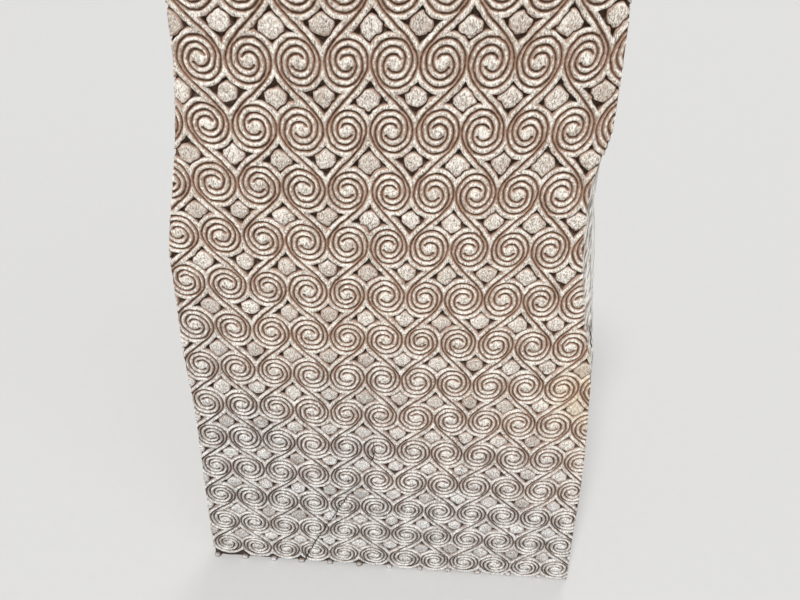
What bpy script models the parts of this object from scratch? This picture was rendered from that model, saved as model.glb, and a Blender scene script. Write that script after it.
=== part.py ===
"""Carved wall panel: one wide board covered with rows of linked double spirals and small bosses.

Metres, +Z up. The carved face looks along -Y and the plain back lies in the plane y = 0.
The origin is the middle of the back, where the panel meets the wall.
"""
import math

import bmesh
import bpy
import mathutils
import numpy as np

MM = 0.001

# Board
BOARD_LENGTH = 1310.0 * MM
BOARD_WIDTH = 817.0 * MM
BOARD_THICKNESS = 40.0 * MM
# Each edge: millimetres above the bottom, and share of the width out from the middle line.
# The two bottom shares add up to the board's width, and BOARD_WIDTH stretches them all
LEFT_EDGE = ((0, 412), (150, 407), (350, 397), (530, 390), (640, 390), (760, 384), (870, 378),
             (985, 354), (1080, 335), (1150, 325), (1330, 318))
RIGHT_EDGE = ((0, 405), (125, 393), (300, 379), (430, 366), (590, 345), (710, 329), (800, 308),
              (880, 292), (935, 283), (985, 274), (1050, 271), (1110, 277), (1180, 273), (1330, 260))
EDGE_UNIT = BOARD_WIDTH / (LEFT_EDGE[0][1] + RIGHT_EDGE[0][1])
EDGE_STEP = 34.0 * MM
BACK_STEP = 32.0 * MM
# The round of the tree, left on the right side, where the back is wider than the face
WANE_WIDTH = 15.0 * MM
WANE_MIDDLE = 895.0 * MM
WANE_LENGTH = 340.0 * MM

# Pattern: columns and rows of spirals, counted from the left and from the bottom
COLUMN_PITCH = 65.0 * MM
ROW_PITCH = 96.6 * MM
FIRST_COLUMN = -357.0 * MM
FIRST_ROW = 25.0 * MM
MIDDLE_COLUMN = 5.5
MIDDLE_ROW = 6.0
# Drift of the hand-set pattern: millimetres, power of the place across, power of the place down
DRIFT_X = ((-6.5, 0, 1), (-4.1, 2, 0), (13.2, 1, 1), (8.5, 2, 1), (4.2, 1, 2))
DRIFT_Z = ((-1.5, 1, 0), (10.0, 2, 0), (-14.6, 1, 1), (11.8, 0, 2), (-5.5, 2, 1), (8.1, 1, 2), (8.4, 0, 3))

# Spiral: share of the radius that is left after the groove has turned so many degrees
SPIRAL_RADIUS = 29.8 * MM
ARM_TURN = (-38.0, 70.0, 135.0, 180.0, 270.0, 360.0, 450.0)
ARM_SHARE = (1.0, 1.0, 0.86, 0.735, 0.655, 0.44, 0.31)
GROOVE_TURNS = (-38.0, 12.0, 75.0, 140.0, 205.0, 285.0)
CREST_TURNS = (0.0, 60.0, 125.0)
GROOVE_DEPTH = 3.8 * MM

# Pocket between four spirals: ways, in degrees, from its middle to its corners and to its round sides
RIDGE_WIDTH = 7.0 * MM
POCKET_WALL = 4.2 * MM
POCKET_DEPTH = 8.0 * MM
RIM_WAYS = (15.0, 52.0, 90.0, 128.0, 165.0, 270.0)
CORNER_WAYS = (15.0, 90.0, 165.0, 270.0)

# Boss in each pocket, no two cut alike
BOSS_WIDTH = 26.0 * MM
BOSS_SIDES = 5
BOSS_DROP = 0.5 * MM
BOSS_UNEVEN = 0.08
BOSS_SEED = 7

WOOD_COLOUR = (0.52, 0.44, 0.37, 1.0)
WOOD_ROUGHNESS = 0.85


def clear_scene():
    for thing in list(bpy.data.objects):
        bpy.data.objects.remove(thing, do_unlink=True)


def edge_at(points, height):
    """Distance from the middle line to an edge, as a smooth curve through its points."""
    heights = np.array([height for height, _ in points]) * MM
    widths = np.array([width for _, width in points]) * EDGE_UNIT
    slopes = np.gradient(widths, heights)
    height = np.clip(height, heights[0], heights[-1])
    k = np.clip(np.searchsorted(heights, height) - 1, 0, len(heights) - 2)
    span = heights[k + 1] - heights[k]
    t = (height - heights[k]) / span
    start = (2 * t ** 3 - 3 * t ** 2 + 1) * widths[k] + (t ** 3 - 2 * t ** 2 + t) * span * slopes[k]
    end = (3 * t ** 2 - 2 * t ** 3) * widths[k + 1] + (t ** 3 - t ** 2) * span * slopes[k + 1]
    return start + end


def outline():
    """The board's outline at the face, as x and height above the bottom, turning left."""
    heights = np.linspace(0.0, BOARD_LENGTH, round(BOARD_LENGTH / EDGE_STEP) + 1)
    right = np.stack([edge_at(RIGHT_EDGE, heights), heights], 1)
    left = np.stack([-edge_at(LEFT_EDGE, heights), heights], 1)[::-1]
    bottom = np.linspace(left[-1], right[0], round((right[0, 0] - left[-1, 0]) / EDGE_STEP) + 1)
    top = np.linspace(right[-1], left[0], round((right[-1, 0] - left[0, 0]) / EDGE_STEP) + 1)
    return np.concatenate([bottom[1:-1], right, top[1:-1], left])


def drift(terms, across, down):
    return sum(size * MM * across ** a * down ** b for size, a, b in terms)


def board_point(column, row):
    """Where a point of the pattern lies on the board: x and height above the bottom."""
    across = (column - MIDDLE_COLUMN) / MIDDLE_COLUMN
    down = (MIDDLE_ROW - row) / MIDDLE_ROW
    x = FIRST_COLUMN + column * COLUMN_PITCH + drift(DRIFT_X, across, down)
    z = FIRST_ROW + row * ROW_PITCH + drift(DRIFT_Z, across, down)
    return x, z


def around(radius, turn, hand):
    """Points around a spiral's middle, turning inward; hand is 1 or, mirrored, -1."""
    angle = np.radians(turn)
    return np.stack([hand * radius * np.cos(angle), -radius * np.sin(angle)], 1)


def arm_radius(turn):
    return SPIRAL_RADIUS * np.interp(turn, ARM_TURN, ARM_SHARE)


def groove_line(turn, hand):
    """One groove: out of a spiral, down across the gap and into the spiral below."""
    winding = around(arm_radius(turn), turn, hand)
    return np.concatenate([-winding[::-1], winding - np.array([0.0, ROW_PITCH])])


def crest_line(turn, hand):
    """The ridge that runs through a spiral's middle, between its two grooves."""
    radius = (arm_radius(turn) + arm_radius(turn + 180.0)) / 2
    winding = around(radius, turn, hand)
    return np.concatenate([winding, -winding[::-1]])


def pocket_reach(way, clear):
    """How far a pocket reaches one way before it is this near to a groove's middle."""
    turn = np.arange(ARM_TURN[0], ARM_TURN[-1], 5.0)
    steps = np.linspace(0.0, 1.0, 8)[:, None, None]
    grooves = []
    for side, hand in ((-0.5, 1.0), (0.5, -1.0)):
        for up in (-0.5, 0.5, 1.5):
            line = groove_line(turn, hand) + np.array([side * COLUMN_PITCH, up * ROW_PITCH])
            grooves.append((line[:-1] * (1 - steps) + line[1:] * steps).reshape(-1, 2))
    grooves = np.concatenate(grooves)
    reach = np.arange(0.1, 0.6, 0.002) * COLUMN_PITCH
    ray = reach[:, None] * np.array([math.cos(math.radians(way)), math.sin(math.radians(way))])
    room = np.sqrt(((ray[:, None] - grooves[None]) ** 2).sum(2)).min(1)
    return reach[np.argmax(room < clear)]


def ring(ways, reaches, hand):
    angle = np.radians(np.array(ways))
    return np.stack([reaches * np.cos(angle), hand * reaches * np.sin(angle)], 1)


class Carving:
    """Points of the relief with their depths, and the lines that join them."""

    def __init__(self):
        self.points = []
        self.depths = []
        self.lines = []

    def add(self, column, row, offsets, depth, closed=False):
        """Join offsets from a place in the pattern into a line, and return its points' numbers."""
        numbers = []
        for x, z in offsets:
            numbers.append(len(self.points))
            self.points.append(board_point(column + x / COLUMN_PITCH, row + z / ROW_PITCH))
            self.depths.append(depth)
        self.lines += zip(numbers, numbers[1:])
        if closed:
            self.lines.append((numbers[-1], numbers[0]))
        return numbers


def carve():
    """Grooves, crests, pockets and bosses of every spiral that touches the board."""
    carving = Carving()
    rng = np.random.default_rng(BOSS_SEED)
    groove_turn, crest_turn = np.array(GROOVE_TURNS), np.array(CREST_TURNS)
    rim_reach = np.array([pocket_reach(way, RIDGE_WIDTH) for way in RIM_WAYS])
    floor_reach = np.array([pocket_reach(way, RIDGE_WIDTH + POCKET_WALL) for way in CORNER_WAYS])
    widest_left = max(width for _, width in LEFT_EDGE) * EDGE_UNIT
    widest_right = max(width for _, width in RIGHT_EDGE) * EDGE_UNIT
    tip, foot = RIM_WAYS.index(90.0), RIM_WAYS.index(270.0)
    first = math.floor((-widest_left - FIRST_COLUMN) / COLUMN_PITCH) - 1
    last = math.ceil((widest_right - FIRST_COLUMN) / COLUMN_PITCH) + 1
    highest = math.ceil(BOARD_LENGTH / ROW_PITCH) + 1
    for column in range(first, last + 1):
        hand = 1.0 if column % 2 else -1.0
        upper, lower = (tip, foot) if hand > 0 else (foot, tip)
        above = None
        for row in range(highest, -2, -1):
            carving.add(column, row, groove_line(groove_turn, hand), GROOVE_DEPTH)
            carving.add(column, row, crest_line(crest_turn, hand), 0.0)
            pocket = (column + 0.5, row + 0.5)
            rim = carving.add(*pocket, ring(RIM_WAYS, rim_reach, hand), 0.0, closed=True)
            carving.add(*pocket, ring(CORNER_WAYS, floor_reach, hand), POCKET_DEPTH, closed=True)
            ways = 90.0 + 360.0 / BOSS_SIDES * (np.arange(BOSS_SIDES)
                                                + rng.uniform(-BOSS_UNEVEN, BOSS_UNEVEN, BOSS_SIDES))
            reaches = BOSS_WIDTH / 2 * (1.0 + rng.uniform(-BOSS_UNEVEN, BOSS_UNEVEN, BOSS_SIDES))
            carving.add(*pocket, ring(ways, reaches, hand), BOSS_DROP, closed=True)
            if above is not None:
                carving.lines.append((above, rim[upper]))
            above = rim[lower]
    return carving


def triangles(points, lines, border=()):
    """Triangles between the lines; the last result says which of them lie inside the border."""
    corners = [mathutils.Vector(p) for p in points]
    face = list(range(len(corners), len(corners) + len(border)))
    corners += [mathutils.Vector(p) for p in border]
    faces = [face] if face else []
    spots, _, found, origins, _, inside = mathutils.geometry.delaunay_2d_cdt(
        corners, lines, faces, 0, 1e-5, True)
    return spots, found, origins, inside


def relief_tree(carving):
    """The relief carried on past the board's edges, to read the depth at an edge from."""
    spots, found, origins, _ = triangles(carving.points, carving.lines)
    solid = [(spot.x, carving.depths[origin[0]] if origin else 0.0, spot.y)
             for spot, origin in zip(spots, origins)]
    return mathutils.bvhtree.BVHTree.FromPolygons(solid, found)


def depth_at(tree, spot):
    hit = tree.ray_cast(mathutils.Vector((spot.x, -1.0, spot.y)), mathutils.Vector((0.0, 1.0, 0.0)))
    return hit[0].y if hit[0] else 0.0


def carved_face():
    """The carved side of the board, an open surface inside the outline."""
    carving = carve()
    tree = relief_tree(carving)
    spots, found, origins, inside = triangles(carving.points, carving.lines, outline())
    bm = bmesh.new()
    for spot, origin in zip(spots, origins):
        own = [k for k in origin if k < len(carving.points)]
        depth = carving.depths[own[0]] if own else depth_at(tree, spot)
        bm.verts.new((spot.x, depth - BOARD_THICKNESS, spot.y - BOARD_LENGTH / 2))
    bm.verts.ensure_lookup_table()
    for corners, parent in zip(found, inside):
        if parent:
            bm.faces.new([bm.verts[k] for k in corners])
    loose = [v for v in bm.verts if not v.link_faces]
    bmesh.ops.delete(bm, geom=loose, context="VERTS")
    return bm


def rim_order(rim):
    """The rim's points one after the other."""
    left = set(rim)
    order = [rim[0]]
    left.remove(rim[0])
    while left:
        ahead = [e.other_vert(order[-1]) for e in order[-1].link_edges]
        ahead = [v for v in ahead if v in left]
        if not ahead:
            break
        order.append(ahead[0])
        left.remove(ahead[0])
    return order


def close_body(bm):
    """Sides from the face's rim back to the wall plane, with the wane, and a flat back."""
    rim = [e for e in bm.edges if e.is_boundary]
    swept = bmesh.ops.extrude_edge_only(bm, edges=rim)["geom"]
    order = rim_order([v for v in swept if isinstance(v, bmesh.types.BMVert)])
    for v in order:
        height = v.co.z + BOARD_LENGTH / 2
        if v.co.x > 0.0:
            v.co.x += WANE_WIDTH * max(0.0, 1.0 - (2.0 * (height - WANE_MIDDLE) / WANE_LENGTH) ** 2)
        v.co.y = 0.0
    # The back needs fewer points than the carved rim: weld each run to its first one, corners kept
    targets = {}
    kept = order[0]
    for before, v, after in zip(order, order[1:], order[2:] + order[:1]):
        turned = (v.co - before.co).normalized().dot((after.co - v.co).normalized()) < 0.6
        if turned or (v.co - kept.co).length > BACK_STEP:
            kept = v
        else:
            targets[v] = kept
    bmesh.ops.weld_verts(bm, targetmap=targets)
    bmesh.ops.contextual_create(bm, geom=[e for e in bm.edges if e.is_boundary])
    bmesh.ops.triangulate(bm, faces=bm.faces[:])
    bmesh.ops.recalc_face_normals(bm, faces=bm.faces[:])


def limed_wood():
    material = bpy.data.materials.new("limed_wood")
    material.use_nodes = True
    shader = material.node_tree.nodes["Principled BSDF"]
    shader.inputs["Base Color"].default_value = WOOD_COLOUR
    shader.inputs["Roughness"].default_value = WOOD_ROUGHNESS
    shader.inputs["Metallic"].default_value = 0.0
    return material


def make_panel():
    bm = carved_face()
    close_body(bm)
    mesh = bpy.data.meshes.new("carved_panel")
    bm.to_mesh(mesh)
    bm.free()
    mesh.materials.append(limed_wood())
    return bpy.data.objects.new("carved_panel", mesh)


def main():
    clear_scene()
    parts = bpy.data.collections.new("carved_wall_panel")
    bpy.context.scene.collection.children.link(parts)
    parts.objects.link(make_panel())


main()
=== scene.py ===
"""Carved wall panel: the board's fine carving, its worn limewash, the floor, the lights and the camera."""
import math

import bmesh
import bpy
import mathutils
import numpy as np
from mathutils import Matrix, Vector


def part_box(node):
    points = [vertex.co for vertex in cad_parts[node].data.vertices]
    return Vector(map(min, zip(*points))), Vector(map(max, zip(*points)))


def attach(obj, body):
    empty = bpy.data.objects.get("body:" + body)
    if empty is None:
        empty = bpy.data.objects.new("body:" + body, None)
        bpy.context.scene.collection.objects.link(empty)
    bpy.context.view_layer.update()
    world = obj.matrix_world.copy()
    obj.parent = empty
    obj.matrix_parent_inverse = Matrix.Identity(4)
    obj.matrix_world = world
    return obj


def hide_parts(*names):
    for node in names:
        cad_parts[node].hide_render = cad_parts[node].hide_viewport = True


MM = 0.001

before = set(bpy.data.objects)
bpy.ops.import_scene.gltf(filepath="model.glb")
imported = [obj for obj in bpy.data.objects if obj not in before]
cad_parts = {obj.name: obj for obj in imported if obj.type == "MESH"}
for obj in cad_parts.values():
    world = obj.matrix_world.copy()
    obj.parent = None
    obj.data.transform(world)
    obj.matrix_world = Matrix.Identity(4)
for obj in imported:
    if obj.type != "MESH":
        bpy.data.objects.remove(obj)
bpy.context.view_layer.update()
low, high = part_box("carved_panel")
FACE = low.y
BACK = high.y
BOTTOM = low.z
BOARD_LENGTH = high.z - low.z

# Board edges, as in the CAD: millimetres above the bottom, and millimetres out from the middle line
LEFT_EDGE = ((0, 412), (150, 407), (350, 397), (530, 390), (640, 390), (760, 384), (870, 378),
             (985, 354), (1080, 335), (1150, 325), (1330, 318))
RIGHT_EDGE = ((0, 405), (125, 393), (300, 379), (430, 366), (590, 345), (710, 329), (800, 308),
              (880, 292), (935, 283), (985, 274), (1050, 271), (1110, 277), (1180, 273), (1330, 260))
WANE_WIDTH = 15.0 * MM
WANE_MIDDLE = 895.0 * MM
WANE_LENGTH = 340.0 * MM

# Pattern, as in the CAD
COLUMN_PITCH = 65.0 * MM
ROW_PITCH = 96.6 * MM
FIRST_COLUMN = -357.0 * MM
FIRST_ROW = 25.0 * MM
MIDDLE_COLUMN = 5.5
MIDDLE_ROW = 6.0
# Slow drift of the rows and columns, fitted to the photograph: millimetres, power across, power down
DRIFT_X = ((-6.5, 0, 1), (-4.1, 2, 0), (13.2, 1, 1), (8.5, 2, 1), (4.2, 1, 2))
DRIFT_Z = ((-1.5, 1, 0), (10.0, 2, 0), (-14.6, 1, 1), (11.8, 0, 2), (-5.5, 2, 1), (8.1, 1, 2), (8.4, 0, 3))
# How far each spiral strays from the drifting pattern at random, and over how many cells
WANDER = 2.4 * MM
WANDER_SPAN = 1.6

# Spiral
SPIRAL_RADIUS = 29.8 * MM
ARM_TURN = (-26.0, 70.0, 110.0, 180.0, 270.0, 360.0, 450.0, 505.0)
ARM_SHARE = (1.0, 1.0, 0.92, 0.75, 0.66, 0.47, 0.35, 0.31)
SPIRAL_UNEVEN = 0.045
SPIRAL_TALL = 1.12
CLOSED_TURN = -150.0
ARM_STEP = 2.0
LINK_BEND = 0.85
CELL = np.array([COLUMN_PITCH, ROW_PITCH])

# Cuts
GROOVE_REACH = 4.5 * MM
GROOVE_DEPTH = 4.4 * MM
RIDGE_WIDTH = 8.6 * MM
RIDGE_WALL = 1.6 * MM
POCKET_DEPTH = 9.0 * MM
BOSS_WIDTH = 34.0 * MM
BOSS_SIDES = 6
BOSS_DROP = 0.7 * MM
BOSS_WALL = 1.6 * MM
BOSS_SHIFT = 2.6 * MM
BOSS_GAP = 2.3 * MM
FOOT_BOSS_HEIGHT = 5.5 * MM
FOOT_BOSS_SHARE = 0.42
POCKET_REACH = 42.0 * MM

# Cracks, each as millimetres right and up from the board's middle, with its half width in millimetres
CRACKS = ((((-201, -655), (-201, -644), (-176, -572), (-141, -494), (-112, -428), (-94, -384)), 2.6),
          (((-49, -219), (-44.5, -240), (-44.5, -263.5), (-52, -283)), 1.9))
CRACK_DEPTH = 9.0 * MM

# Broken strip along the wane, where the carving is gone and bare fibres show
BARE_INSET = 13.0 * MM
LEAST_INSET = 1.5 * MM
BARE_MIDDLE = 850.0 * MM
BARE_LENGTH = 460.0 * MM
WANE_STEP = 2.5 * MM
WANE_FALL = 5.0 * MM
WANE_SWELL = 0.70
WANE_ROUGH = 2.4 * MM
FIBRE_HEIGHT = 0.9 * MM
SLIT_MIDDLE = 735.0 * MM
SLIT_DEPTH = 4.5 * MM
SLIT_PLACE = 0.60

# Mesh
SKIN = 0.05 * MM
HAND_STRAY = 1.0 * MM
SIDE_SKIN = 1.5 * MM
END_SKIN = 0.2 * MM
SIDE_SHARES = (0.12, 0.16, 0.21, 0.27, 0.35, 0.45, 0.60, 0.80, 1.0)
SIDE_ROUGH = 1.2 * MM
BACK_STEP = 32.0 * MM
GRID_STEP = 1.0 * MM
FACE_TRIANGLES = 170000

# Camera of the photograph: metres, degrees and millimetres
CAMERA_PLACE = (0.022, -0.986, 0.882)
CAMERA_TURN = (1.67, -38.12, 2.33)
CAMERA_LENS = 32.85
FLOOR_GAP = 0.0005


def smooth_noise(x, z, size, seed):
    """Soft noise between -1 and 1 that changes over this size."""
    rng = np.random.default_rng(seed)
    table = rng.uniform(-1.0, 1.0, (256, 256))
    u, v = x / size + 100.0, z / size + 100.0
    i, j = np.floor(u).astype(int), np.floor(v).astype(int)
    s, t = u - i, v - j
    s, t = s * s * (3 - 2 * s), t * t * (3 - 2 * t)
    a, b = table[i % 256, j % 256], table[(i + 1) % 256, j % 256]
    c, d = table[i % 256, (j + 1) % 256], table[(i + 1) % 256, (j + 1) % 256]
    return (a * (1 - s) + b * s) * (1 - t) + (c * (1 - s) + d * s) * t


def ramp(value, start, end):
    """0 before start, 1 after end, smooth between."""
    t = np.clip((value - start) / (end - start), 0.0, 1.0)
    return t * t * (3 - 2 * t)


def edge_at(points, height):
    """Distance from the middle line to an edge, as a smooth curve through its points."""
    heights, widths = np.array(points).T * MM
    slopes = np.gradient(widths, heights)
    height = np.clip(height, heights[0], heights[-1])
    k = np.clip(np.searchsorted(heights, height) - 1, 0, len(heights) - 2)
    span = heights[k + 1] - heights[k]
    t = (height - heights[k]) / span
    start = (2 * t ** 3 - 3 * t ** 2 + 1) * widths[k] + (t ** 3 - 2 * t ** 2 + t) * span * slopes[k]
    end = (3 * t ** 2 - 2 * t ** 3) * widths[k + 1] + (t ** 3 - t ** 2) * span * slopes[k + 1]
    return start + end


def drift(terms, across, down):
    return sum(size * MM * across ** a * down ** b for size, a, b in terms)


def board_point(column, row):
    """Where a point of the pattern lies on the board: x and height above the bottom."""
    across = (column - MIDDLE_COLUMN) / MIDDLE_COLUMN
    down = (MIDDLE_ROW - row) / MIDDLE_ROW
    x = FIRST_COLUMN + column * COLUMN_PITCH + drift(DRIFT_X, across, down)
    z = FIRST_ROW + row * ROW_PITCH + drift(DRIFT_Z, across, down)
    x = x + WANDER * smooth_noise(column, row, WANDER_SPAN, 11)
    z = z + WANDER * smooth_noise(column, row, WANDER_SPAN, 12)
    return np.stack([x, z], -1)


SPIRAL_SIZES = np.random.default_rng(3).uniform(-1.0, 1.0, (18, 22))


def groove_line(column, row):
    """One groove: out of a spiral and down into the spiral below; the bottom row is closed."""
    turn = np.arange(ARM_TURN[0] if row else CLOSED_TURN, ARM_TURN[-1], ARM_STEP)
    radius = SPIRAL_RADIUS * np.interp(turn, ARM_TURN, ARM_SHARE)
    hand = 1.0 if column % 2 else -1.0
    across = hand * radius * np.cos(np.radians(turn)) / COLUMN_PITCH
    up = -SPIRAL_TALL * radius * np.sin(np.radians(turn)) / ROW_PITCH
    above, below = (1.0 + SPIRAL_UNEVEN * SPIRAL_SIZES[column + 2, level + 3] for level in (row, row - 1))
    leaving = np.stack([column - above * across, row - above * up], 1)[::-1]
    if row == 0:
        return board_point(leaving[:, 0], leaving[:, 1])
    entering = np.stack([column + below * across, row - 1 + below * up], 1)
    t = np.linspace(0.0, 1.0, 50)[1:-1, None]
    out, into = leaving[-1] - leaving[-2], entering[1] - entering[0]
    reach = np.linalg.norm((entering[0] - leaving[-1]) * CELL) * LINK_BEND
    out, into = [way * reach / np.linalg.norm(way * CELL) for way in (out, into)]
    gap = ((2 * t ** 3 - 3 * t ** 2 + 1) * leaving[-1] + (t ** 3 - 2 * t ** 2 + t) * out
           + (3 * t ** 2 - 2 * t ** 3) * entering[0] + (t ** 3 - t ** 2) * into)
    line = np.concatenate([leaving, gap, entering])
    return board_point(line[:, 0], line[:, 1])


def search_tree(points):
    tree = mathutils.kdtree.KDTree(len(points))
    for k, (x, z) in enumerate(points):
        tree.insert((x, z, 0.0), k)
    tree.balance()
    return tree


def nearest_of(points, x, z):
    tree = search_tree(points)
    return np.array([tree.find((a, b, 0.0))[1] for a, b in zip(x.tolist(), z.tolist())])


def pattern_range():
    return range(-1, 13), range(-1, 16)


def groove_distance(x, z):
    columns, rows = pattern_range()
    lines = [groove_line(column, row) for column in columns for row in rows if row >= 0]
    ways = [np.gradient(line, axis=0) for line in lines]
    points, ways = np.concatenate(lines), np.concatenate(ways)
    ways = ways / np.linalg.norm(ways, axis=1)[:, None]
    near = nearest_of(points, x, z)
    gap = np.stack([x, z], 1) - points[near]
    along = np.abs((gap * ways[near]).sum(1))
    beside = np.abs(gap[:, 0] * ways[near, 1] - gap[:, 1] * ways[near, 0])
    return np.where(along < 1.2 * MM, beside, np.linalg.norm(gap, axis=1)), np.abs(ways[near, 0])


def boss_distance(x, z):
    """Distance outside the nearest boss, negative on it; each boss is a rough polygon of its own."""
    rng = np.random.default_rng(7)
    columns, rows = pattern_range()
    middles, reaches, angles = [], [], []
    for column in columns:
        for row in rows:
            lift = BOSS_SHIFT if column % 2 else -BOSS_SHIFT
            middle = board_point(column + 0.5, row + 0.5) + np.array([0.0, lift])
            size = 0.93 if column % 2 else 1.0
            if row < 0:
                middle = np.array([board_point(column + 0.5, 0.0)[0], FOOT_BOSS_HEIGHT])
                size = FOOT_BOSS_SHARE
            middles.append(middle)
            reaches.append(size * BOSS_WIDTH / 2 * rng.uniform(0.80, 1.04, BOSS_SIDES))
            turned = np.arange(BOSS_SIDES) + rng.uniform(-0.22, 0.22, BOSS_SIDES)
            angles.append(math.tau / BOSS_SIDES * turned)
    middles, reaches, angles = np.array(middles), np.array(reaches), np.array(angles)
    near = nearest_of(middles, x, z)
    away = np.stack([x, z], 1) - middles[near]
    sides = away[:, :1] * np.cos(angles[near]) + away[:, 1:] * np.sin(angles[near]) - reaches[near]
    sharp = 1.1 * MM
    edge = sharp * np.log(np.exp(np.minimum(sides, 0.2) / sharp).sum(1))
    return edge, near, np.linalg.norm(away, axis=1)


def wobbled(x, z):
    """The same places moved a little, as a hand-held knife strays from its line."""
    right = 0.8 * smooth_noise(x, z, 11 * MM, 41) + 0.35 * smooth_noise(x, z, 4.5 * MM, 42)
    up = 0.8 * smooth_noise(x, z, 11 * MM, 43) + 0.35 * smooth_noise(x, z, 4.5 * MM, 44)
    return x + HAND_STRAY * right, z + HAND_STRAY * up


def crack_distance(crack, x, z):
    """Distance to a crack, a jagged line through its points."""
    z = z + BOTTOM
    x = x + 1.6 * MM * smooth_noise(z, z, 14 * MM, 51) + 0.7 * MM * smooth_noise(z, z, 4 * MM, 52)
    spots = np.array(crack) * MM
    nearest = np.full(len(x), 1.0)
    for start, end in zip(spots, spots[1:]):
        way = end - start
        t = np.clip(((x - start[0]) * way[0] + (z - start[1]) * way[1]) / (way @ way), 0.0, 1.0)
        nearest = np.minimum(nearest, np.hypot(x - start[0] - t * way[0], z - start[1] - t * way[1]))
    return nearest


def bare_inset(z):
    """How far in from the right edge the carving is broken away."""
    return BARE_INSET * np.maximum(0.0, 1.0 - np.abs(2.0 * (z - BARE_MIDDLE) / BARE_LENGTH) ** 2.5)


def wane_place(x, z):
    """How far over the wane a place on the face is: below 0 on the carving, 1 at the board's edge."""
    inset = bare_inset(z)
    ragged = 1.6 * MM * smooth_noise(z, z, 15 * MM, 61) + 0.8 * MM * smooth_noise(z, z, 5 * MM, 62)
    over = x - edge_at(RIGHT_EDGE, z) + inset + ragged * np.minimum(1.0, inset / (5 * MM))
    return np.where(inset > LEAST_INSET, over / np.maximum(inset, LEAST_INSET), -1.0)


def bare_depth(x, z, over):
    """How deep the bare fibres of the wane lie, with one long slit between them."""
    fibre = smooth_noise(x, z * 0.08, 2.2 * MM, 63) + 0.6 * smooth_noise(x, z * 0.3, 2.0 * MM, 64)
    from_slit = np.abs(over - SLIT_PLACE - 0.15 * smooth_noise(z, z, 20 * MM, 65))
    slit = SLIT_DEPTH * (1.0 - ramp(from_slit, 0.07, 0.16))
    slit = slit * (1.0 - ramp(np.abs(z - SLIT_MIDDLE), 20 * MM, 34 * MM))
    slope = WANE_STEP * ramp(over, 0.0, 0.15) + WANE_FALL * np.clip(over, 0.0, 1.0)
    return slope + FIBRE_HEIGHT * fibre + slit


def cut_depth(x, z):
    """How deep the carving goes below the face of the board."""
    shake = 1.0 + 0.16 * smooth_noise(x, z, 13 * MM, 21) + 0.12 * smooth_noise(x, z, 5 * MM, 24)
    groove = groove_distance(*wobbled(x, z))[0] * shake
    boss, _, middle = boss_distance(*wobbled(x, z))
    groove = np.where(middle < POCKET_REACH, groove, np.minimum(groove, GROOVE_REACH))
    deep = GROOVE_DEPTH * (1.0 + 0.15 * smooth_noise(x, z, 34 * MM, 22))
    line = deep * (1.0 - np.sin(math.pi / 2 * np.clip(groove / GROOVE_REACH, 0.0, 1.0)) ** 1.5)
    floor = POCKET_DEPTH * (1.0 + 0.12 * smooth_noise(x, z, 21 * MM, 23))
    from_ridge = floor * ramp(groove, RIDGE_WIDTH - 0.4 * RIDGE_WALL, RIDGE_WIDTH + RIDGE_WALL)
    from_ridge += 1.3 * MM * ramp(groove, RIDGE_WIDTH - 3.6 * MM, RIDGE_WIDTH)
    boss = np.maximum(boss, RIDGE_WIDTH + BOSS_GAP - groove)
    from_boss = BOSS_DROP + 1.0 * MM * ramp(boss, -4.5 * MM, 0.0)
    from_boss += floor * ramp(boss, -0.3 * BOSS_WALL, BOSS_WALL)
    worn = 0.35 * MM * (1.0 + smooth_noise(x, z, 55 * MM, 25))
    worn += 0.18 * MM * (1.0 + smooth_noise(x, z, 4 * MM, 26))
    carved = worn + np.maximum(line, np.minimum(from_ridge, from_boss))
    for crack, width in CRACKS:
        beside = crack_distance(crack, x, z)
        open_width = width * MM * (0.75 + 0.25 * smooth_noise(x, z, 6 * MM, 27))
        carved = np.maximum(carved, CRACK_DEPTH * (1.0 - ramp(beside, 0.3 * open_width, open_width)))
    over = wane_place(x, z)
    bare = np.maximum(bare_depth(x, z, over), np.minimum(carved, WANE_STEP))
    return np.where(over > 0.0, bare, carved)


def face_grid():
    """The carved face as an even grid between the board's two edges."""
    wide = max(p[1] for p in LEFT_EDGE) + max(p[1] for p in RIGHT_EDGE)
    across = round(wide * MM / GRID_STEP)
    up = round(BOARD_LENGTH / GRID_STEP)
    bm = bmesh.new()
    bmesh.ops.create_grid(bm, x_segments=across, y_segments=up, size=0.5)
    mesh = bpy.data.meshes.new("face_grid")
    bm.to_mesh(mesh)
    bm.free()
    grid = np.empty(len(mesh.vertices) * 3)
    mesh.vertices.foreach_get("co", grid)
    grid = grid.reshape(-1, 3)
    height = (grid[:, 1] + 0.5) * BOARD_LENGTH
    left, right = -edge_at(LEFT_EDGE, height), edge_at(RIGHT_EDGE, height)
    x = left + (grid[:, 0] + 0.5) * (right - left)
    depth = cut_depth(x, height)
    face = np.stack([x, FACE + SKIN + depth, BOTTOM + height], 1)
    mesh.vertices.foreach_set("co", face.ravel())
    mesh.update()
    return mesh


def thinned(mesh, triangles):
    """The same surface with its triangles kept where the carving needs them."""
    thing = bpy.data.objects.new("face", mesh)
    bpy.context.scene.collection.objects.link(thing)
    thin = thing.modifiers.new("thin", "DECIMATE")
    thin.ratio = triangles / (2.0 * len(mesh.polygons))
    graph = bpy.context.evaluated_depsgraph_get()
    result = bpy.data.meshes.new_from_object(thing.evaluated_get(graph))
    bpy.data.objects.remove(thing, do_unlink=True)
    points = np.empty(len(result.vertices) * 3)
    result.vertices.foreach_get("co", points)
    points = points.reshape(-1, 3)
    points[:, 2] = np.clip(points[:, 2], BOTTOM, BOTTOM + BOARD_LENGTH)
    height = points[:, 2] - BOTTOM
    points[:, 0] = np.clip(points[:, 0], -edge_at(LEFT_EDGE, height), edge_at(RIGHT_EDGE, height))
    points[:, 1] = np.maximum(points[:, 1], FACE)
    result.vertices.foreach_set("co", points.ravel())
    result.update()
    return result


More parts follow.
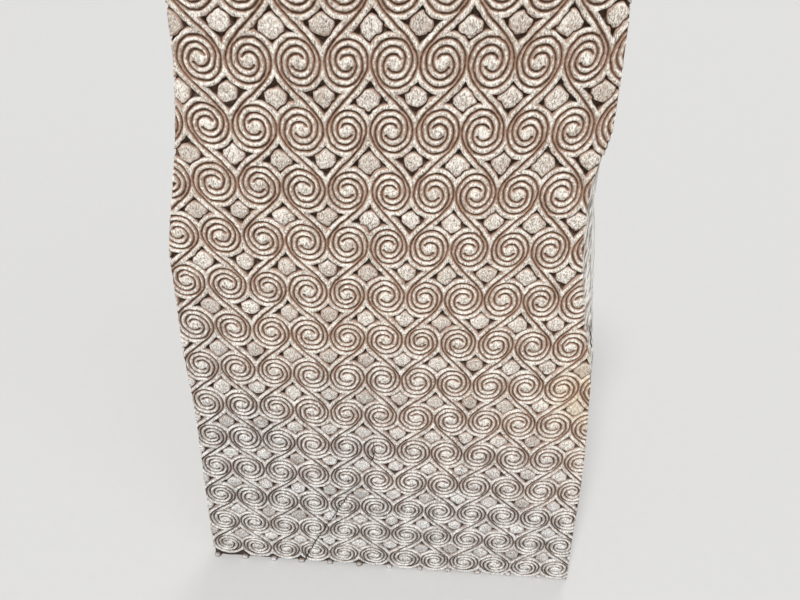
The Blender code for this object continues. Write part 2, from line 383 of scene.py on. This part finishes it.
def border(mesh):
    """The vertices round the edge of an open mesh, in order."""
    bm = bmesh.new()
    bm.from_mesh(mesh)
    after = {}
    for edge in bm.edges:
        if edge.is_boundary:
            loop = edge.link_loops[0]
            after[loop.vert.index] = loop.link_loop_next.vert.index
    start = next(iter(after))
    ring = [start]
    while after[ring[-1]] != start:
        ring.append(after[ring[-1]])
    bm.free()
    return ring


def wane_reach(height):
    """How much wider the back is than the face at the right edge."""
    return WANE_WIDTH * np.maximum(0.0, 1.0 - (2.0 * (height - WANE_MIDDLE) / WANE_LENGTH) ** 2)


def rim_sides(rim):
    """Which points of the board's rim lie on its right edge, its left edge and its two ends."""
    height = rim[:, 2] - BOTTOM
    on_right = rim[:, 0] > edge_at(RIGHT_EDGE, height) - SIDE_SKIN
    on_left = rim[:, 0] < SIDE_SKIN - edge_at(LEFT_EDGE, height)
    on_end = (height < END_SKIN) | (height > BOARD_LENGTH - END_SKIN)
    return on_right, on_left & ~on_right, on_end


def side_level(rim, step, share):
    """One ring of the rough side, this share of the way from the face to the back."""
    height = rim[:, 2] - BOTTOM
    on_right, on_left, on_end = rim_sides(rim)
    level = rim.copy()
    level[:, 1] = np.maximum(FACE + (BACK - FACE) * share, rim[:, 1] + 0.4 * MM * step * (share < 0.3))
    depth = level[:, 1]
    rough = SIDE_ROUGH * (0.6 * smooth_noise(height, depth * 4.0, 9 * MM, 31)
                          + 0.4 * smooth_noise(height, depth * 2.0, 3 * MM, 32) + 0.6)
    rough = rough * math.sin(math.pi * min(share, 0.96))
    fibre = smooth_noise(height * 0.12, depth, 3 * MM, 33)
    fibre += 0.6 * smooth_noise(height * 0.4, depth, 3 * MM, 34)
    wane = wane_reach(height)
    fall = (share - SIDE_SHARES[0]) / (1.0 - SIDE_SHARES[0])
    reach = WANE_SWELL * wane * (0.10 + 0.90 * fall ** 0.25)
    reach -= WANE_ROUGH * (1.0 + fibre) * wane / WANE_WIDTH * math.sin(math.pi * share)
    level[:, 0] += np.where(on_right, reach - rough, 0.0) + np.where(on_left, rough, 0.0)
    level[:, 2] += np.where(on_end, np.where(height < END_SKIN, 0.5, -0.5) * rough, 0.0)
    level[:, 2] = np.clip(level[:, 2], BOTTOM, BOTTOM + BOARD_LENGTH)
    return level


def flat_back(back_rim):
    """Fills the back's rim with large flat triangles: its points, and each triangle's point numbers."""
    rim = [mathutils.Vector((p[0], p[2])) for p in back_rim]
    inner = []
    for z in np.arange(BOTTOM + BACK_STEP, BOTTOM + BOARD_LENGTH - 0.5 * BACK_STEP, BACK_STEP):
        left = edge_at(LEFT_EDGE, z - BOTTOM) - 0.6 * BACK_STEP
        right = edge_at(RIGHT_EDGE, z - BOTTOM) - 0.6 * BACK_STEP
        inner += [mathutils.Vector((x, z)) for x in np.arange(-left, right, BACK_STEP)]
    loop = [list(range(len(rim)))]
    made, _, faces, sources, _, face_sources = mathutils.geometry.delaunay_2d_cdt(rim + inner, [], loop, 0,
                                                                                  1e-7, True)
    number, extra = [], []
    for k, source in enumerate(sources):
        if source and source[0] < len(rim):
            number.append(source[0])
        else:
            number.append(len(rim) + len(extra))
            extra.append((made[k][0], BACK, made[k][1]))
    return extra, [[number[v] for v in face] for face, source in zip(faces, face_sources) if source]


def close_board(mesh):
    """Adds the rough sides and the plain back; the part number 0 is face, 1 side, 2 back."""
    count = len(mesh.vertices)
    points = np.empty(count * 3)
    mesh.vertices.foreach_get("co", points)
    points = points.reshape(-1, 3)
    ring = border(mesh)
    rim = points[ring]
    on_right = rim_sides(rim)[0]
    wane = wane_reach(rim[:, 2] - BOTTOM) > 0.5 * MM
    levels = [side_level(rim, step, share) for step, share in enumerate(SIDE_SHARES, 1)]
    rings = [np.array(ring)] + [np.arange(len(ring)) + count + k * len(ring) for k in range(len(levels))]
    faces = [tuple(p.vertices) for p in mesh.polygons]
    parts = [0] * len(faces)
    for upper, lower in zip(rings, rings[1:]):
        for k in range(len(ring)):
            n = (k + 1) % len(ring)
            faces.append((upper[k], lower[k], lower[n], upper[n]))
            parts.append(0 if upper is rings[0] and on_right[k] and wane[k] else 1)
    extra, back_faces = flat_back(levels[-1])
    for face in back_faces:
        faces.append([v + rings[-1][0] for v in face])
        parts.append(2)
    vertices = np.concatenate([points, *levels, np.array(extra)])
    board = bpy.data.meshes.new("carved_board")
    board.from_pydata(vertices.tolist(), [], [tuple(int(v) for v in f) for f in faces])
    bm = bmesh.new()
    bm.from_mesh(board)
    bmesh.ops.recalc_face_normals(bm, faces=bm.faces)
    bm.to_mesh(board)
    bm.free()
    kind = board.attributes.new("part", "INT", "FACE")
    kind.data.foreach_set("value", parts)
    return board


def carving_values(mesh):
    """Writes on each vertex what the material needs, lengths in millimetres."""
    count = len(mesh.vertices)
    points = np.empty(count * 3)
    mesh.vertices.foreach_get("co", points)
    points = points.reshape(-1, 3)
    x, height = points[:, 0], points[:, 2] - BOTTOM
    on_face = points[:, 1] < FACE + POCKET_DEPTH * 1.6
    groove = np.full(count, 20 * MM)
    boss = np.full(count, 20 * MM)
    number = np.zeros(count)
    level = np.zeros(count)
    place = wobbled(x[on_face], height[on_face])
    groove[on_face], level[on_face] = groove_distance(*place)
    boss[on_face], near, middle = boss_distance(*place)
    groove[on_face] = np.where(middle < POCKET_REACH, groove[on_face], np.minimum(groove[on_face], 5.0 * MM))
    boss[on_face] = np.maximum(boss[on_face], RIDGE_WIDTH + BOSS_GAP - groove[on_face])
    number[on_face] = np.random.default_rng(5).uniform(0, 1, 4000)[near]
    ragged = 4.0 * MM * smooth_noise(height, 4.0 * points[:, 1], 16 * MM, 67)
    beside = ramp(bare_inset(height) + ragged, 0.5 * MM, 10.0 * MM) * (x > 0.0)
    over = np.where(on_face, ramp(wane_place(x, height), 0.0, 0.12), beside)
    normals = np.empty(count * 3)
    mesh.vertex_normals.foreach_get("vector", normals)
    # The normal's upward part and the groove's level run feed the painted highlight and painted shadow of
    # the limed face.
    for name, values in (("depth", (points[:, 1] - FACE) / MM), ("groove", groove / MM), ("level", level),
                         ("upward_for_painted_light", normals[2::3]), ("boss", boss / MM), ("boss_shade", number),
                         ("wane", over)):
        layer = mesh.attributes.new(name, "FLOAT", "POINT")
        layer.data.foreach_set("value", values.astype(np.float32))


class Value:
    """A shader socket that can be used in Python sums."""

    def __init__(self, tree, socket):
        self.tree = tree
        self.socket = socket

    def math(self, operation, *others):
        node = self.tree.nodes.new("ShaderNodeMath")
        node.operation = operation
        for place, item in enumerate((self, *others)):
            connect(self.tree, node.inputs[place], item)
        return Value(self.tree, node.outputs[0])

    def __add__(self, other):
        return self.math("ADD", other)

    def __mul__(self, other):
        return self.math("MULTIPLY", other)

    def __sub__(self, other):
        return self.math("SUBTRACT", other)

    def __rsub__(self, other):
        return self * -1.0 + other

    __radd__ = __add__
    __rmul__ = __mul__

    def ramp(self, start, end):
        """0 at start, 1 at end, smooth between."""
        node = self.tree.nodes.new("ShaderNodeMapRange")
        node.interpolation_type = "SMOOTHSTEP"
        flip = start > end
        connect(self.tree, node.inputs["Value"], self)
        node.inputs["From Min"].default_value = end if flip else start
        node.inputs["From Max"].default_value = start if flip else end
        node.inputs["To Min"].default_value = 1.0 if flip else 0.0
        node.inputs["To Max"].default_value = 0.0 if flip else 1.0
        return Value(self.tree, node.outputs["Result"])


def connect(tree, place, item):
    if isinstance(item, Value):
        tree.links.new(item.socket, place)
    else:
        place.default_value = item


class Paint:
    """Builds the nodes of one material, or of the world around it."""

    def __init__(self, thing, place="Object"):
        thing.use_nodes = True
        self.thing = thing
        self.tree = thing.node_tree
        self.place = Value(self.tree, self.node("ShaderNodeTexCoord").outputs[place])

    def node(self, kind, settings=None, **values):
        node = self.tree.nodes.new(kind)
        for name, value in (settings or {}).items():
            setattr(node, name, value)
        for name, value in values.items():
            connect(self.tree, node.inputs[name.replace("_", " ")], value)
        return node

    def attribute(self, name):
        return Value(self.tree, self.node("ShaderNodeAttribute", {"attribute_name": name}).outputs["Fac"])

    def axes(self):
        split = self.node("ShaderNodeSeparateXYZ", Vector=self.place)
        return [Value(self.tree, split.outputs[k]) for k in range(3)]

    def stretched(self, sizes):
        node = self.node("ShaderNodeMapping", Vector=self.place, Scale=sizes)
        return Value(self.tree, node.outputs[0])

    def noise(self, scale, detail=4.0, rough=0.55, place=None, twist=0.0):
        node = self.node("ShaderNodeTexNoise", Vector=place or self.place, Scale=scale, Detail=detail,
                         Roughness=rough, Distortion=twist)
        return Value(self.tree, node.outputs["Fac"])

    def mix(self, factor, first, second):
        node = self.node("ShaderNodeMix", {"data_type": "RGBA"})
        for place, item in ((0, factor), (6, first), (7, second)):
            connect(self.tree, node.inputs[place], item)
        return Value(self.tree, node.outputs[2])

    def finish(self, color, roughness, height, distance, strength):
        surface = self.tree.nodes["Principled BSDF"]
        bump = self.node("ShaderNodeBump", Height=height, Distance=distance, Strength=strength)
        connect(self.tree, surface.inputs["Base Color"], color)
        connect(self.tree, surface.inputs["Roughness"], roughness)
        connect(self.tree, surface.inputs["Specular IOR Level"], 0.25)
        self.tree.links.new(bump.outputs["Normal"], surface.inputs["Normal"])
        return self.thing


def srgb(red, green, blue):
    """A colour given in 0 to 255 steps, as the linear colour that Blender mixes."""
    parts = [c / 255.0 for c in (red, green, blue)]
    return (*[c / 12.92 if c <= 0.04045 else ((c + 0.055) / 1.055) ** 2.4 for c in parts], 1.0)


def limed_face():
    """Old limewash on a carved face: cream on top, rubbed brown wood and painted shade in the cuts, a
    painted highlight on faces that point up.
    """
    paint = Paint(bpy.data.materials.new("limed_face"))
    x, y, z = paint.axes()
    depth = paint.attribute("depth")
    groove = paint.attribute("groove")
    boss = paint.attribute("boss")
    shade = paint.attribute("boss_shade")
    patches = paint.noise(7.0, 3.0)
    cloud = paint.noise(30.0, 4.0)
    speck = paint.noise(520.0, 4.0, 0.8, paint.stretched((1.0, 1.0, 0.45)))
    fleck = paint.noise(210.0, 5.0, 0.7)
    grain = paint.noise(130.0, 5.0, 0.65, paint.stretched((1.0, 1.0, 0.10)))
    upward_for_painted_light = paint.attribute("upward_for_painted_light")
    level = paint.attribute("level")
    cool = (z * -1.0 + patches * 0.5 - 0.25 + x * -0.35).ramp(-0.15, 0.50)
    warm_lime = paint.mix(fleck.ramp(0.40, 0.60), srgb(204, 191, 177), srgb(255, 250, 240))
    cool_lime = paint.mix(fleck.ramp(0.38, 0.62), srgb(182, 181, 180), srgb(249, 248, 247))
    lime = paint.mix(cool, warm_lime, cool_lime)
    tan = paint.mix(cool, srgb(172, 153, 137), srgb(142, 137, 132))
    lime = paint.mix((cloud * 0.7 + speck * 0.5).ramp(0.66, 0.42) * (0.6 + cool * 0.2), lime, tan)
    yellow = ((x - 0.345) * (x - 0.345) * 1.6 + (z + 0.05) * (z + 0.05)).ramp(0.014, 0.001)
    lime = paint.mix(yellow * 0.40, lime, srgb(232, 206, 150))
    lime = paint.mix(shade.ramp(0.35, 1.0) * boss.ramp(0.5, -0.5) * 0.55, lime, tan)
    lime = paint.mix((speck + grain * 0.3).ramp(0.65, 0.54) * 0.85, lime, srgb(112, 99, 88))
    lime = paint.mix((speck - grain * 0.2).ramp(0.43, 0.50) * 0.55, lime, srgb(255, 253, 248))
    # Painted highlight: faces that point up are whitened, as if lit from above.
    lime = paint.mix(upward_for_painted_light.ramp(0.15, 0.60) * 0.30, lime, srgb(255, 252, 245))
    red = paint.mix(cool, srgb(160, 119, 95), srgb(134, 109, 96))
    # Dark of the cuts: brown wood and painted shade together.
    dark_wood_and_shade = paint.mix(fleck.ramp(0.35, 0.65), srgb(68, 53, 44), srgb(112, 91, 76))
    dark_wood_and_shade = paint.mix(cool * 0.8, dark_wood_and_shade, srgb(54, 47, 42))
    worn = fleck * 0.9 + speck * 0.6 - 0.75
    # Tan slope and red flank: brown wood where the limewash is rubbed off, pushed onto down-facing sides as
    # painted shade.
    groove_shifted_for_shade = groove + upward_for_painted_light * 1.7
    slope = (groove_shifted_for_shade + worn * 2.0).ramp(4.3, 2.0)
    flank = (groove + worn * 2.6 + upward_for_painted_light * 0.8).ramp(2.9, 1.7)
    # Dark groove line: dark wood in the cut, widened into painted shadow where the groove runs level and on
    # its down-facing side.
    line = (groove_shifted_for_shade + worn * 2.2 - cool * 0.3 - level * 0.8 + 0.42).ramp(1.6, 0.8)
    # Deeper pockets and cracks turn dark: partly brown wood, partly painted shade in the recesses.
    low = (depth + worn * 2.5).ramp(3.2, 7.5)
    beside = (boss + worn * 1.2).ramp(-1.8, 0.3) * groove.ramp(7.2, 8.8)
    color = paint.mix(slope * 0.70, lime, tan)
    color = paint.mix(flank * (0.85 - cool * 0.25), color, red)
    color = paint.mix(beside * 0.75, color, red)
    color = paint.mix(low, color, dark_wood_and_shade)
    color = paint.mix(line * 0.95, color, dark_wood_and_shade)
    strand = paint.noise(330.0, 4.0, 0.6, paint.stretched((1.0, 1.0, 0.07)))
    bare = paint.mix(strand.ramp(0.42, 0.58), srgb(150, 144, 137), srgb(226, 223, 217))
    bare = paint.mix((strand + fleck * 0.3).ramp(0.56, 0.46) * 0.9, bare, srgb(70, 62, 55))
    # Painted shade: the deepest bare fibres, the long slit, turn near black.
    bare = paint.mix(depth.ramp(8.4, 10.2), bare, srgb(46, 40, 35))
    color = paint.mix(paint.attribute("wane"), color, bare)
    rough = 0.6 + 0.3 * fleck
    relief = speck * 0.35 + fleck * 0.45 + grain * 0.35 + paint.noise(90.0, 3.0) * 0.8
    return paint.finish(color, rough, relief, 0.0016, 1.0)


def rough_wood(name, tones, stretch, scale, bare=None):
    """Old wood with long fibres along the board, in pale, middle and dark; bare is its tone at the wane."""
    paint = Paint(bpy.data.materials.new(name))
    fleck = paint.noise(300.0, 4.0, 0.7)
    cloud = paint.noise(18.0, 4.0)
    fibre = paint.noise(scale, 6.0, 0.7, paint.stretched((1.0, 1.0, stretch)), 0.3)
    patch = (fibre * 0.7 + cloud * 0.4).ramp(0.38, 0.66)
    split = (fibre * 0.8 + fleck * 0.35).ramp(0.50, 0.36) * 0.8
    color = paint.mix(split, paint.mix(patch, tones[1], tones[0]), tones[2])
    if bare:
        broken = paint.mix(split, paint.mix(patch, bare[1], bare[0]), bare[2])
        color = paint.mix(paint.attribute("wane"), color, broken)
    return paint.finish(color, 0.7 + 0.25 * fleck, fibre * 0.9 + fleck * 0.4, 0.0015, 0.9)


def pale_floor():
    paint = Paint(bpy.data.materials.new("pale_floor"))
    fine = paint.noise(40.0, 3.0)
    color = paint.mix(fine, srgb(206, 206, 205), srgb(209, 209, 208))
    return paint.finish(color, 0.85 + 0.1 * fine, fine, 0.0002, 0.1)


def light(name, way, spread, strength, color=(1.0, 1.0, 1.0)):
    """A far soft lamp; way is its turn from the front towards the right, and its height, in degrees."""
    lamp = bpy.data.lights.new(name, "SUN")
    lamp.angle = math.radians(spread)
    lamp.energy = strength
    lamp.color = color
    thing = bpy.data.objects.new(name, lamp)
    turn, height = (math.radians(a) for a in way)
    place = mathutils.Vector((math.sin(turn) * math.cos(height), -math.cos(turn) * math.cos(height),
                              math.sin(height)))
    thing.rotation_euler = place.to_track_quat("Z", "Y").to_euler()
    bpy.context.scene.collection.objects.link(thing)


def photo_camera():
    """The camera where the photograph was taken: in front of the board, high up, looking down at it."""
    yaw, pitch, roll = (math.radians(a) for a in CAMERA_TURN)
    base = mathutils.Matrix(((1, 0, 0), (0, 0, -1), (0, 1, 0)))
    turn = mathutils.Matrix.Rotation(-yaw, 3, "Z")
    tilt = mathutils.Matrix.Rotation(-pitch, 3, "X")
    lean = mathutils.Matrix.Rotation(roll, 3, "Z")
    view = (lean @ tilt @ base @ turn).transposed()
    flip = mathutils.Matrix(((1, 0, 0), (0, -1, 0), (0, 0, -1)))
    lens = bpy.data.cameras.new("camera")
    lens.lens = CAMERA_LENS
    lens.sensor_width = 36.0
    lens.clip_start = 0.01
    thing = bpy.data.objects.new("camera", lens)
    thing.matrix_world = mathutils.Matrix.Translation(CAMERA_PLACE) @ (view @ flip).to_4x4()
    bpy.context.scene.collection.objects.link(thing)
    bpy.context.scene.camera = thing


board_mesh = close_board(thinned(face_grid(), FACE_TRIANGLES))
carving_values(board_mesh)
board = bpy.data.objects.new("carved_board", board_mesh)
bpy.context.scene.collection.objects.link(board)
side_colors = srgb(196, 184, 170), srgb(150, 132, 116), srgb(84, 66, 54)
wane_colors = srgb(214, 212, 207), srgb(176, 172, 166), srgb(72, 66, 60)
back_colors = srgb(186, 166, 142), srgb(156, 132, 108), srgb(98, 78, 62)
for material in (limed_face(), rough_wood("rough_side", side_colors, 0.07, 260.0, wane_colors),
                 rough_wood("sawn_back", back_colors, 0.04, 90.0)):
    board_mesh.materials.append(material)
parts = np.empty(len(board_mesh.polygons), dtype=np.int32)
board_mesh.attributes["part"].data.foreach_get("value", parts)
board_mesh.polygons.foreach_set("material_index", parts)
board_mesh.polygons.foreach_set("use_smooth", parts == 0)
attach(board, "root")
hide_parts("carved_panel")

bpy.ops.mesh.primitive_plane_add(size=80.0, location=(0.0, 0.0, BOTTOM - FLOOR_GAP))
floor = bpy.context.object
floor.name = "floor"
floor.data.materials.append(pale_floor())

light("window", (-20.0, 55.0), 12.0, 2.6, (1.0, 0.99, 0.98))
light("fill", (45.0, 30.0), 40.0, 0.35, (0.98, 0.99, 1.0))
light("behind", (160.0, 40.0), 30.0, 0.6)
world = bpy.data.worlds.new("studio")
bpy.context.scene.world = world
sky = Paint(world, "Generated")
studio = sky.mix(sky.axes()[2].ramp(0.02, 0.50), (0.76, 0.76, 0.75, 1.0), (0.31, 0.31, 0.31, 1.0))
connect(sky.tree, sky.tree.nodes["Background"].inputs["Color"], studio)
bpy.context.scene.view_settings.view_transform = "Standard"

photo_camera()
